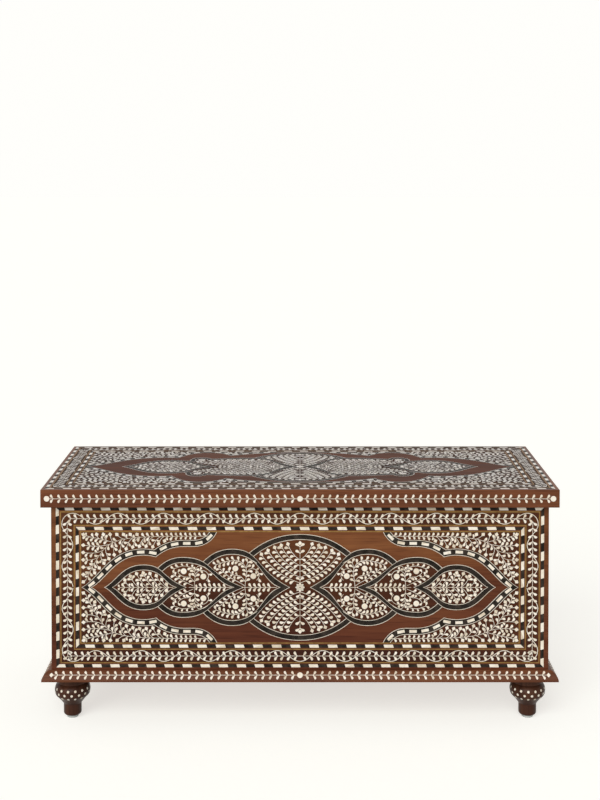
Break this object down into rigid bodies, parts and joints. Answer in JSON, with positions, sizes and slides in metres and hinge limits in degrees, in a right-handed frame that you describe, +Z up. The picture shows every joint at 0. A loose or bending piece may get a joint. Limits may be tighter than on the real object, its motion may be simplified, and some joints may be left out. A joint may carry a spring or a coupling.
{
  "type": "wooden chest",
  "caption": "Long wooden storage chest on turned feet, with an overhanging hinged lid and bone, ebony and brass inlay in dashed bands, pointed lobes and leafy vines.",
  "frame": {"origin": "on the floor below the middle of the bounding box", "axes": "+X along the length to the viewer's right, +Y to the back, +Z up"},
  "size_m": [1.15, 0.4594, 0.53],
  "materials": {
    "rosewood": "satin polish",
    "inner_wood": "planed",
    "bone": "polished bone",
    "ebony": "satin polish",
    "brass": "aged",
    "steel": "zinc plated",
    "glide_plastic": "smooth"
  },
  "bodies": {
    "carcass": {"back_panel": "rosewood", "base_moulding_front": "rosewood", "base_moulding_left": "rosewood", "base_moulding_right": "rosewood", "bottom_board": "inner_wood", "bottom_cleat_back": "inner_wood", "bottom_cleat_front": "inner_wood", "bottom_cleat_left": "inner_wood", "bottom_cleat_right": "inner_wood", "carcass_screws": "brass", "corner_post_back_left": "inner_wood", "corner_post_back_right": "inner_wood", "corner_post_front_left": "inner_wood", "corner_post_front_right": "inner_wood", "foot_back_left": "rosewood", "foot_back_right": "rosewood", "foot_block_back_left": "inner_wood", "foot_block_back_right": "inner_wood", "foot_block_front_left": "inner_wood", "foot_block_front_right": "inner_wood", "foot_dots": "bone", "foot_front_left": "rosewood", "foot_front_right": "rosewood", "foot_glides": "glide_plastic", "foot_studs": "steel", "front_bone_inlay": "bone", "front_brass_lines": "brass", "front_ebony_inlay": "ebony", "front_panel": "rosewood", "glide_nails": "steel", "hinge_left_carcass_leaf": "brass", "hinge_pins": "brass", "hinge_right_carcass_leaf": "brass", "left_end_bone_inlay": "bone", "left_end_brass_lines": "brass", "left_end_ebony_inlay": "ebony", "left_end_panel": "rosewood", "right_end_bone_inlay": "bone", "right_end_brass_lines": "brass", "right_end_ebony_inlay": "ebony", "right_end_panel": "rosewood", "stay_stud_left": "brass", "stay_stud_right": "brass"},
    "lid": {"hinge_left_lid_leaf": "brass", "hinge_right_lid_leaf": "brass", "lid_batten_left": "inner_wood", "lid_batten_right": "inner_wood", "lid_bone_inlay": "bone", "lid_brass_lines": "brass", "lid_ebony_inlay": "ebony", "lid_lip_front": "rosewood", "lid_lip_left": "rosewood", "lid_lip_right": "rosewood", "lid_panel": "rosewood", "lid_screws": "brass", "stay_bracket_left": "brass", "stay_bracket_right": "brass"},
    "stay_left": {"stay_arm_left": "brass"},
    "stay_right": {"stay_arm_right": "brass"}
  },
  "joints": [
    {"name": "lid_hinge", "type": "hinge", "parent": "carcass", "child": "lid", "pos_m": [0, 0.2252, 0.51], "axis": [-1, 0, 0], "range_deg": [0, 95]},
    {"name": "stay_pivot_left", "type": "hinge", "parent": "lid", "child": "stay_left", "pos_m": [-0.531, 0.04591, 0.494], "axis": [-1, 0, 0], "range_deg": [-47.5, 0]},
    {"name": "stay_pivot_right", "type": "hinge", "parent": "lid", "child": "stay_right", "pos_m": [0.531, 0.04591, 0.494], "axis": [-1, 0, 0], "range_deg": [-47.5, 0]}
  ],
  "couplings": [
    {"joint": "stay_pivot_left", "follows": "lid_hinge", "ratio": -0.5},
    {"joint": "stay_pivot_right", "follows": "lid_hinge", "ratio": -0.5}
  ]
}
